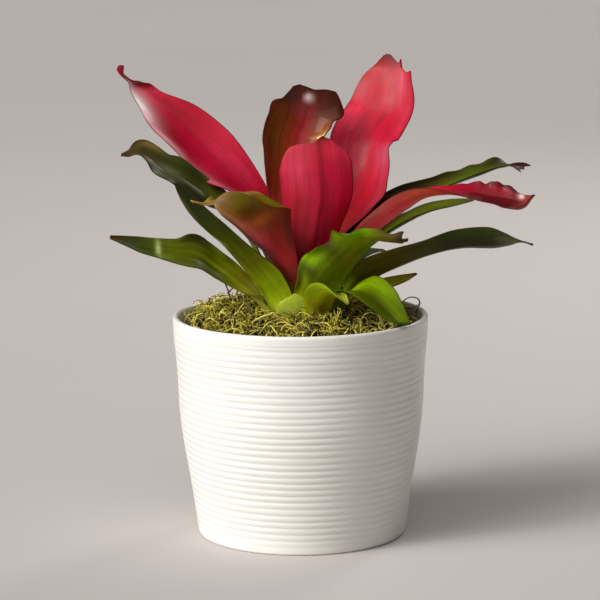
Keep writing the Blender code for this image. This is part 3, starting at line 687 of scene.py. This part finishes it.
  108 93 10 40 3, 124 97 9 38 6, 138 101 8 30 18, 148 100 3 20, 154 99 4 20 -20, 160 98 3 20 -30
upper: 0 lime, .3 green, .5 70/70/10, .6 60/62/8, .7 84/96/8, .8 80/94/6, .88 64/66/8, .95 80/44/28,
  1 104/56/44
lower: 0 lime, .4 60/60/8, .8 30/26/4, .9 66/30/12, 1 96/40/28
upper+: .5 .6 .15 .5 46/30/6 .85, .68 .85 .1 .35 52/30/6 .85, .74 -.5 .14 .4 100/116/8 .7,
  .88 .6 .04 .4 44/40/6 .8
both+: .955 .3 .015 .5 214/200/190 .6
end: -1 .02, -.6 0, -.2 .03, .3 .01, .7 .035, 1 0
margins: .85 1 1, .9 1 1, .94 1.1 1, .965 .8 2, .98 .9 3.2, 1 1 4.5
curls: .5 1 .25 .45 60, .97 -1 .03 0 40
frills: .84 .09 .8 .3 1

green_mid_right green 4 .8 2 0
line: 19.7 0 7 W, 20.5 22 8 W, 28 40 10 40, 39 54 11 35, 53 65 12 30 5, 67 73 11 30 5, 80 79 9 30 8,
  94 82 6 25 8, 109 84 1 10 5
upper: 0 lime, .3 110/120/14, .6 86/96/6, .92 86/92/8, 1 90/70/20
lower: 0 lime, .4 green, 1 dark_green
upper+: .55 .9 .4 .2 40/34/6 .85, .5 -.5 .3 .3 112/122/12 .5
curls: .6 1 .3 .6 35

green_small_right pale_green 14 .4 1 0
line: 26 0 7 W, 26 13 8 W, 31 22 9 35, 42 27 9 30 5, 55 30 9 30 8, 67 33 6 25 8, 76 36 1 10 5
upper: 0 pale, .35 254/250/110, .6 240/244/50, .8 206/200/24, .9 210/204/40, 1 olive
lower: 0 pale, .4 lime, 1 green
upper+: .72 -.85 .2 .3 110/96/6 .85, .7 .6 .15 .35 250/252/60 .7, .7 .95 .15 .12 150/148/14 .8
creases: .3 .15 1 .3 1

green_drooping green 322 .5 1 .2
line: 25.6 0 8 W, 26 14 9 W, 31 26 10 32 0 -1, 39 34 13 30 5, 49 36 15 26 12, 60 31 14 24 12,
  69 24 11 24 10, 77 18 7 22 8, 84 16.5 1.2 10
upper: 0 yellow_green, .35 170/214/10, .5 122/150/3, .62 98/118/2, .75 88/106/3, .88 96/112/10,
  1 dark_green
lower: 0 yellow_green, .4 green, 1 dark_green
upper+: .62 -.5 .24 .3 74/86/2 .75, .62 .55 .22 .3 138/174/4 .85, .55 -.92 .2 .14 132/146/10 .7,
  .64 .04 .3 .05 58/66/3 .7, .42 .5 .05 .5 180/228/12 .7
margins: .35 1 1, .5 1 1.05, .9 1.1 1, 1 1 1
creases: -.05 .1 1.6 .4 1

green_short_front green 290 .4 1 .2
line: 27.8 0 8 W, 28.5 15 9 W, 33 27 10 30 -10, 40 35 11 28 -12 1, 46 36 10 28 -8 4, 52 33 7 25 0 7,
  57 29 1.2 10 0 10
upper: 0 pale, .5 lime, .78 110/130/20, .88 220/230/60, 1 252/254/110
lower: 0 240/240/110, .32 184/186/50, .45 158/158/20, .56 180/190/18, .7 196/220/26, .8 182/200/34,
  1 190/200/50
upper+: .8 .3 .05 .5 84/88/24 .8
lower+: .4 .25 .1 .3 144/128/8 .8, .42 .8 .14 .3 196/182/16 .6, .57 -.85 .12 .35 112/138/10 .8

sheath_front pale_green 264 0 1 0
line: 23 0 10 W, 23 14 12 W, 24 22 12 32, 26 28 10 28, 27 32 7 24
upper: 0 pale, 1 lime
lower: 0 160/160/60, .55 176/186/50, .75 176/190/60, 1 176/192/52
lower+: .75 .75 .3 .5 226/242/84 .8, .6 -.8 .15 .4 140/148/48 .7, .5 0 .04 .8 120/118/24 .6
end: -1 .2, -.6 .08, -.15 0, .3 .02, .7 .09, 1 .18

green_back_left green 122 .8 1.5 .2
line: 14.6 0 8 W, 15.5 26 10 W, 23 46 13 45, 36 62 16 38, 54 74 16 32, 74 80 14 30, 92 80 9 28,
  106 77 1.2 10
upper: 0 yellow_green, .35 bright, .7 green, 1 dark_green
lower: 0 yellow_green, .4 green, 1 dark_green

green_back_middle green 84 .8 1.5 .6
line: 18 0 9 W, 19 24 11 W, 26 42 13 45, 39 55 15 38, 57 64 15 32, 77 67 12 30, 94 64 7 28,
  105 60 1.2 10
upper: 0 yellow_green, .35 bright, .7 green, 1 dark_green
lower: 0 yellow_green, .4 green, 1 dark_green

green_back_low green 54 .8 1.5 .4
line: 23 0 9 W, 24 15 10 W, 31 28 12 40, 45 38 13 32, 62 43 12 30, 79 44 8 28, 94 42 1.2 10
upper: 0 pale, .35 bright, .7 green, 1 dark_green
lower: 0 pale, .4 green, 1 dark_green
"""


def read_cell(cell):
    """A number, a tone or, for a W, WRAP."""
    if cell == "W":
        return WRAP
    if "/" in cell:
        return tuple(int(part) for part in cell.split("/"))
    return cell if cell[0].isalpha() else float(cell)


def read_leaves(table):
    """Each leaf's name, and its lists by their names."""
    for block in table.replace("\n  ", " ").strip().split("\n\n"):
        title, *lists = block.splitlines()
        name, slot, *numbers = title.split()
        heading, *wave = (float(number) for number in numbers)
        leaf = dict(slot="leaf_" + slot, heading=heading, wave=wave)
        for line in lists:
            key, rows = line.split(":")
            leaf[key] = [tuple(read_cell(cell) for cell in row.split()) for row in rows.split(",")]
        yield "leaf_" + name, leaf


# ---- Pot ----

# Height and radius up the outer wall, as in the solids
POT_OUTLINE = ((2.0, 65.7), (16.0, 67.6), (37.0, 70.7), (57.0, 74.0), (78.0, 76.5),
               (100.0, 77.5), (114.0, 78.4), (124.0, 79.4), (136.0, 79.9))
POT_HEIGHT = node_box("pot")[1][2]
POT_WALL = 4.2
POT_FLOOR = 6.0
FLOOR_ROUND = 3.0
POT_SEGMENTS = 224
FOOT_ROUND = 2.0
LIP_ROUND = 1.9
ARC_STEP = 15  # degrees between the points of the rounded foot and lip
BAND_HEIGHTS = (132.5, 135.0)
INNER_HEIGHTS = (128.0, 110.0, 78.0, 40.0, POT_FLOOR + FLOOR_ROUND)
RIB_COUNT = 31
RIB_LOW = 5.0
RIB_PITCH = 4.15
RIB_DEPTH = 0.5
DEPTH_CHANGE = 0.5
RIB_WANDER = 0.45
RIB_SHARPNESS = 2.2
RIB_START = 0.6  # over the rounded foot
STEPS_PER_RIB = 8
RIBS_TOP = RIB_LOW + RIB_PITCH * RIB_COUNT
TOP_FADE = 1.2
FOOT_FADE = (3.0, 9.0)  # where the ribs begin over the foot, and how fast they grow
HIGH_FADE = (90.0, 45.0)  # where they begin to soften, and over what height
HIGH_LOSS = 0.45
SHARP_ANGLE = 50


def outer_radii(heights):
    return smooth_through(*zip(*POT_OUTLINE), np.array(heights), level=True)


def arc(radius, height, size, first, last):
    """Points of an arc in the pot's profile, in steps from one angle to the other."""
    angles = [radians(degrees) for degrees in range(first, last + 1, ARC_STEP)]
    return [(radius + size * cos(angle), height + size * sin(angle)) for angle in angles]


def round_noise(turn, size, shift, layer):
    """Noise round a circle, for every angle of turn."""
    return np.array([noise.noise(Vector((cos(t) * size + shift, sin(t) * size, layer)))
                     for t in turn])


def build_pot():
    """The ribbed pot: soft crests that wander a little, a plain band, and a rounded lip."""
    foot, top = POT_OUTLINE[0][1] - FOOT_ROUND, POT_OUTLINE[-1][1] - LIP_ROUND
    profile = [(foot, 0.0), *arc(foot, FOOT_ROUND, FOOT_ROUND, -90 + ARC_STEP, 0)]
    heights = np.linspace(FOOT_ROUND + RIB_START, RIBS_TOP + RIB_PITCH / 2,
                          RIB_COUNT * STEPS_PER_RIB)
    ribbed = range(len(profile), len(profile) + len(heights))
    profile += zip(outer_radii(heights), heights)
    profile += zip(outer_radii(BAND_HEIGHTS), BAND_HEIGHTS)
    profile += arc(top, POT_HEIGHT - LIP_ROUND, LIP_ROUND, 0, 180)
    profile += zip(outer_radii(INNER_HEIGHTS) - POT_WALL, INNER_HEIGHTS)
    profile += zip(outer_radii([POT_FLOOR]) - POT_WALL - FLOOR_ROUND, [POT_FLOOR])
    turn = CIRCLE * np.arange(POT_SEGMENTS) / POT_SEGMENTS
    radius, height = np.repeat(np.transpose(profile)[..., None], POT_SEGMENTS, axis=2)
    groove = np.zeros_like(radius)
    for row in ribbed:
        level = height[row, 0]
        wander = round_noise(turn, 1.6, 0, level / 9.0)
        depth = round_noise(turn, 2.5, 7, level / 4.0)
        phase = (level + RIB_WANDER * wander - RIB_LOW) / RIB_PITCH
        fade = (ramp(RIBS_TOP + TOP_FADE, level, TOP_FADE) * ramp(level, *FOOT_FADE)
                * (1.0 - HIGH_LOSS * ramp(level, *HIGH_FADE)))
        groove[row] = (0.5 + 0.5 * np.cos(CIRCLE * phase)) ** RIB_SHARPNESS * fade
        radius[row] -= RIB_DEPTH * (1.0 + DEPTH_CHANGE * depth) * groove[row]
    points = np.stack([radius * np.cos(turn), radius * np.sin(turn), height], axis=-1)
    number = np.arange(radius.size).reshape(radius.shape)
    faces = ring_faces(number[:-1], number[1:]).tolist()
    faces += [number[0, ::-1].tolist(), number[-1].tolist()]
    # the groove depth also sets the glaze's painted shade in the grooves
    pot = make_mesh("pot_ribbed", points, faces, groove=groove)
    pot.data.set_sharp_from_angle(angle=radians(SHARP_ANGLE))
    pot.data.materials.append(glaze_material())
    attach(pot, BODY)
    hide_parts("pot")


# ---- Moss ----

SOIL_TOP = node_box("soil")[1][2]
MOSS_HOLE = 30.0
MOSS_HEIGHT = 140.0
MOSS_FALL = 7.5
FALL_POWER = 1.6
MOSS_MOUND = (-38.0, 34.0, 4.0, 500.0)  # x, y, height, spread
MOSS_LUMP = 2.6
LUMP_FADE = 6.0
MOSS_EDGE = 1.0  # how far the solid goes past MOSS_WALL
MOSS_LUMPS = ((3.0, 9.0, 1.0), (8.0, 4.0, 0.6))
TUFTS = ((5.0, 5.5, 1.0), (9.0, 2.4, 0.4))
CRUMBS = ((21.0, 1.8, 1.2),)
MOSS_WALL = 73.6
BED_DROP = 4.5
BED_FOOT = 2.8  # above the soil
BED_HOLE = 24.0
BED_RINGS = 40
BED_SEGMENTS = 180
STRAND_SIDES = 3
TUBE_SIDE = (0.31, 0.17, 0.93)  # a direction that no strand runs in
STRAND_HOLE = 25.0
STRAND_EDGE = 1.5  # from the wall to the outermost strand's middle
TUFT_TEST = (-0.4, 0.5)
TUFT_RISE = 2.2
STRAND_LEAN = (1.0, 1.0, 0.7)  # more level than upright
TURNS = (0.25, 1.3)  # of a strand's curl
SWELL = 0.5  # how much the curl's radius changes along it
PITCH_CHANGE = 0.35
JITTER = 0.14
WALL_GAP = 0.3


def moss_top(x, y):
    """Height of the moss's lumpy top, as in the solids."""
    radius = hypot(x, y)
    span = max(0.0, (radius - MOSS_HOLE) / (MOSS_WALL + MOSS_EDGE - MOSS_HOLE))
    mound_x, mound_y, mound_height, mound_spread = MOSS_MOUND
    away = (x - mound_x) ** 2 + (y - mound_y) ** 2
    body = MOSS_HEIGHT - MOSS_FALL * span ** FALL_POWER + mound_height * exp(-away / mound_spread)
    return body + MOSS_LUMP * min(1.0, LUMP_FADE * (1.0 - span)) * lumps(x, y, MOSS_LUMPS)


def build_moss_bed():
    """The dark, crumbly mat that the strands lie on."""
    radii = np.linspace(BED_HOLE, MOSS_WALL, BED_RINGS)
    places = [(radius * cos(angle), radius * sin(angle))
              for radius in (*radii, radii[-1], radii[0])
              for angle in CIRCLE * np.arange(BED_SEGMENTS) / BED_SEGMENTS]
    top = BED_RINGS * BED_SEGMENTS
    points = [(x, y, moss_top(x, y) - BED_DROP + lumps(x, y, CRUMBS)) for x, y in places[:top]]
    points += [(x, y, SOIL_TOP + BED_FOOT) for x, y in places[top:]]
    number = np.arange(len(points)).reshape(-1, BED_SEGMENTS)
    bed = make_mesh("moss_bed", points, ring_faces(number, np.roll(number, -1, axis=0))[:, ::-1])
    bed.data.materials.append(earth_material("moss_mat", (20, 12, 8), (50, 38, 14)))
    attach(bed, BODY)
    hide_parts("moss")


def curly_paths(draw, count, points, curl, drift, depth, clump):
    """Centre lines of loose curls over the moss, in clumps: an array (strand, point, 3)."""
    places = []
    while len(places) < count:
        radius = sqrt(draw.uniform(STRAND_HOLE ** 2, (MOSS_WALL - STRAND_EDGE) ** 2))
        angle = draw.uniform(0, CIRCLE)
        x, y = radius * cos(angle), radius * sin(angle)
        tuft = lumps(x, y, TUFTS)
        if tuft > draw.uniform(*TUFT_TEST) * clump:
            places.append((x, y, moss_top(x, y) + clump * TUFT_RISE * tuft))
    x, y, top = np.array(places).T
    drop = draw.uniform(*depth, count)
    axis = unit(draw.normal(size=(count, 3)) * STRAND_LEAN)
    first = unit(np.cross(axis, draw.normal(size=(count, 3))))
    second = np.cross(axis, first)
    bend = draw.uniform(*curl, count)
    turns = draw.uniform(*TURNS, count)
    run = draw.uniform(*drift, count)
    start = draw.uniform(0, CIRCLE, count)
    share = np.linspace(-0.5, 0.5, points)
    swell = 1.0 + SWELL * draw.uniform(-1, 1, (count, 1)) * share
    phase = start[:, None] + CIRCLE * turns[:, None] * (share + PITCH_CHANGE * share ** 2)
    wave = bend[:, None] * swell
    paths = (np.stack([x, y, top - drop], axis=-1)[:, None, :]
             + (wave * np.cos(phase))[..., None] * first[:, None, :]
             + (wave * np.sin(phase))[..., None] * second[:, None, :]
             + (run[:, None] * share)[..., None] * axis[:, None, :])
    paths += draw.normal(scale=JITTER, size=paths.shape)
    away = np.hypot(paths[..., 0], paths[..., 1])
    paths[..., :2] *= np.minimum(1.0, (MOSS_WALL - WALL_GAP) / away)[..., None]
    return paths, drop


def tube(paths, radii, sides):
    """Points and faces of closed tubes round centre lines (strand, point, 3)."""
    tangent = unit(np.gradient(paths, axis=1))
    side = unit(np.cross(tangent, TUBE_SIDE))
    other = np.cross(tangent, side)
    turn = (CIRCLE * np.arange(sides) / sides)[:, None]
    ring = side[:, :, None, :] * np.cos(turn) + other[:, :, None, :] * np.sin(turn)
    points = paths[:, :, None, :] + ring * radii[:, :, None, None]
    number = np.arange(points.size // 3).reshape(points.shape[:3])
    faces = ring_faces(number[:, :-1], number[:, 1:]).tolist()
    faces += number[:, 0, ::-1].tolist() + number[:, -1].tolist()
    return points, faces


# name: (seed, strands, points, thinnest, thickest, curl radii, drifts, depths, clumping, tones)
STRANDS = {
    "moss_strands_low": (11, 2150, 15, 0.26, 0.42, (0.9, 3.0), (1, 8), (0.8, 4.8), 0.5,
                         ((96, 84, 22), (60, 46, 14), (40, 28, 10), (124, 112, 30), (30, 20, 8))),
    "moss_strands_top": (12, 1000, 27, 0.34, 0.58, (1.5, 4.6), (4, 19), (-2.4, 1.2), 1.0,
                         ((206, 192, 62), (236, 224, 112), (178, 166, 44), (140, 126, 34),
                          (220, 208, 84), (104, 84, 26))),
}
TAPER_START = 0.35
TAPER_POWER = 0.6
STRAND_SHADES = (0.6, 1.25)
# painted shade: strands darken with their depth under the moss's top
PAINTED_DEPTH_SHADE = (1.05, 0.2, 0.22, 1.1)  # at the top, lost per mm of depth, least, most


def build_strands():
    """Two layers of closed curls: thin, darker ones below and thick bright ones in tufts on top,
    each strand darkened with its depth as painted shade.
    """
    for name, (seed, count, length, thin, thick, *shape, tones) in STRANDS.items():
        draw = np.random.default_rng(seed)
        paths, drop = curly_paths(draw, count, length, *shape)
        taper = np.sin(np.linspace(TAPER_START, pi - TAPER_START, length)) ** TAPER_POWER
        radii = draw.uniform(thin, thick, count)[:, None] * taper
        points, faces = tube(paths, radii, STRAND_SIDES)
        tints = np.array([linear(tone) for tone in tones])[draw.choice(len(tones), count)]
        tints = tints * draw.uniform(*STRAND_SHADES, (count, 1))
        # painted shade: deeper strands get darker tints
        light, loss, least, most = PAINTED_DEPTH_SHADE
        tints *= np.clip(light - loss * np.maximum(drop, 0.0), least, most)[:, None]
        tints = np.repeat(tints, length * STRAND_SIDES, axis=0)
        piece = make_mesh(name, points, faces, tint=tints)
        piece.data.materials.append(strand_material(name + "_fibre", 0.75))
        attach(piece, BODY)


# Wiry bits standing out of the moss: radius and a few points each (x, y, above the rim).
TWIGS = (
    (0.42, ((71.5, 6, -9), (72.6, 6, -1), (75, 5.5, 4.5), (73.5, 5, 8), (69.5, 4.5, 9),
            (65.5, 4.2, 7.4), (64, 4, 4.4), (66.5, 4, 2.2), (71, 4.2, 2.2), (75.5, 4.6, 5.5))),
    (0.55, ((-41, 24, -3), (-44, 24, 4), (-45.5, 24, 10), (-47, 24, 14), (-48.6, 24, 17.5))),
    (0.5, ((-46, 24, 9), (-43, 25, 12), (-40.5, 25, 14.5))),
    (0.45, ((-42, 26, 4), (-38, 26, 7), (-33, 26, 6.5), (-27, 26, 7.5))),
    (0.45, ((-38, 27, 3), (-34, 27, 8), (-30, 27, 9.5))),
    (0.4, ((-58, 20, -6), (-57, 20, 2), (-58, 20, 7))),
)
TWIG_STEPS = 28
TWIG_SIDES = 6
TWIG_TAPER = (1.1, 0.8)


def build_twigs():
    """The loose wiry bits: a loop at the right wall and thin sticks at the back left."""
    share = np.linspace(0, 1, TWIG_STEPS)
    paths = np.array([[smooth_through(np.linspace(0, 1, len(points)), column, share)
                       for column in np.array(points, float).T] for radius, points in TWIGS])
    paths = paths.transpose(0, 2, 1) + (0.0, 0.0, POT_HEIGHT)
    taper = np.linspace(*TWIG_TAPER, TWIG_STEPS)
    radii = np.array([twig[0] for twig in TWIGS])[:, None] * taper
    piece = make_mesh("moss_twigs", *tube(paths, radii, TWIG_SIDES))
    piece.data.materials.append(earth_material("twig_bark", (70, 36, 18), (132, 84, 50), 700.0))
    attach(piece, BODY)


# ---- Stage ----

CAMERA_PLACE = (-0.0002, -1.6, 0.4291)
CAMERA_PITCH = 9.99
CAMERA_ROLL = -0.5
CAMERA_LENS = 155.85
CAMERA_SENSOR = 36.0
CAMERA_REACH = 60.0
FLOOR_RADIUS = 8.0
AIR_TONE = (1.0, 0.97, 0.94, 1.0)
AIR_STRENGTH = 0.1
LIT_POINT = (0.0, 0.0, 0.15)
SUN_TONE = (1.0, 0.99, 0.975)

# name, kind, place, watts, tone and what else its kind needs
LIGHTS = (
    ("key", "SUN", (-1.7, -0.95, 1.32), 2.15, SUN_TONE, {"angle": 0.7}),
    ("left", "SUN", (-1.5, -0.55, 0.36), 0.7, SUN_TONE, {"angle": 0.5}),
    ("glint", "SUN", (-1.7, -0.95, 1.32), 0.75, SUN_TONE, {"angle": 0.22}),
    ("top", "SUN", (-0.3, -0.75, 1.75), 0.75, (1.0, 0.985, 0.965), {"angle": 0.9}),
    ("back", "AREA", (0.8, 1.3, 1.2), 6.0, (1.0, 0.98, 0.96),
     {"shape": "RECTANGLE", "size": 0.35, "size_y": 0.3}),
)


def build_camera():
    pitch, roll = radians(CAMERA_PITCH), radians(CAMERA_ROLL)
    right, up = Vector((1.0, 0.0, 0.0)), Vector((0.0, sin(pitch), cos(pitch)))
    axes = Matrix((right * cos(roll) + up * sin(roll), up * cos(roll) - right * sin(roll),
                   (0.0, -cos(pitch), sin(pitch)))).transposed()
    data = bpy.data.cameras.new("camera")
    data.lens = CAMERA_LENS
    data.sensor_width = CAMERA_SENSOR
    data.clip_end = CAMERA_REACH
    camera = new_object("camera", data)
    camera.matrix_world = Matrix.Translation(CAMERA_PLACE) @ axes.to_4x4()
    bpy.context.scene.camera = camera


def build_stage():
    n = Nodes("floor")
    cloud = n.noise(n.place(), 1.5, 2.0)
    bpy.ops.mesh.primitive_circle_add(vertices=64, radius=FLOOR_RADIUS, fill_type="NGON")
    floor = bpy.context.active_object
    floor.name = "floor"
    grey = n.mix(cloud, (196, 189, 186), (202, 196, 192))
    floor.data.materials.append(n.surface(grey, 0.9))
    world = bpy.data.worlds.new("studio")
    world.use_nodes = True
    air = world.node_tree.nodes["Background"]
    air.inputs["Color"].default_value = AIR_TONE
    air.inputs["Strength"].default_value = AIR_STRENGTH
    bpy.context.scene.world = world
    bpy.context.scene.view_settings.view_transform = "Standard"
    for name, kind, place, watts, tone, settings in LIGHTS:
        data = bpy.data.lights.new(name, kind)
        data.energy, data.color = watts, tone
        for key, value in settings.items():
            setattr(data, key, value)
        light = new_object(name, data)
        light.location = place
        aim = Vector(LIT_POINT) - Vector(place)
        light.rotation_euler = aim.to_track_quat("-Z", "Y").to_euler()


# ---- Making ----

for leaf_name, leaf in read_leaves(LEAF_TABLE):
    build_blade(leaf_name, leaf)
build_pot()
build_moss_bed()
build_strands()
build_twigs()

potting_mix = earth_material("potting_mix", (24, 16, 10), (66, 48, 30))
for node, material in (("soil", potting_mix), ("stem", stem_material())):
    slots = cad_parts[node].data.materials
    slots.clear()
    slots.append(material)

build_stage()
build_camera()
